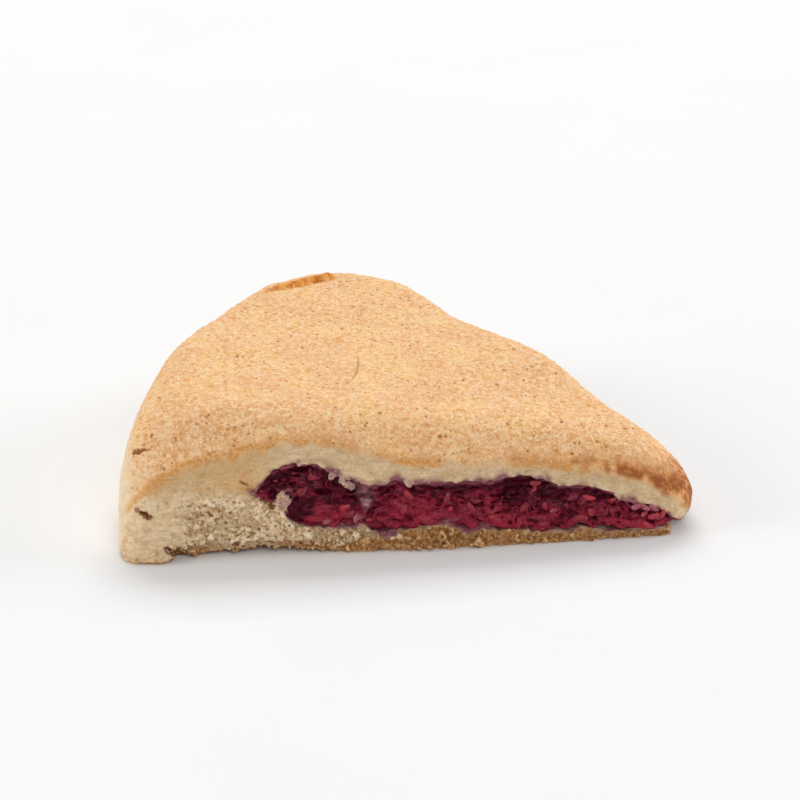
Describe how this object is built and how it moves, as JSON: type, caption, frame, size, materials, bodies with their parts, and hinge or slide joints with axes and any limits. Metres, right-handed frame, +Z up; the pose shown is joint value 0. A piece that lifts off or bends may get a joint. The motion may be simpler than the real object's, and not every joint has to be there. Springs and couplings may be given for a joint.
{
  "type": "filled scone wedge",
  "caption": "Triangular baked scone wedge with a domed sugared crust, steep cut faces and a rounded rim, and a layer of cooked raspberries baked between its dough layers.",
  "frame": {"origin": "centre of the footprint, on the surface the scone rests on", "axes": "+X along the front cut face towards the pointed end, +Y across the wedge towards the rim's far corner, +Z up through the domed crust"},
  "size_m": [0.1062, 0.0946, 0.0271],
  "materials": {
    "baked_dough": "dry matt baked crust, golden tan with fine sugar crystals, over a pale open crumb",
    "cooked_raspberry": "wet glossy deep maroon to crimson fruit with small pale pips"
  },
  "bodies": {
    "root": {"scone_dough": "baked_dough", "raspberry_filling": "cooked_raspberry"}
  },
  "joints": []
}
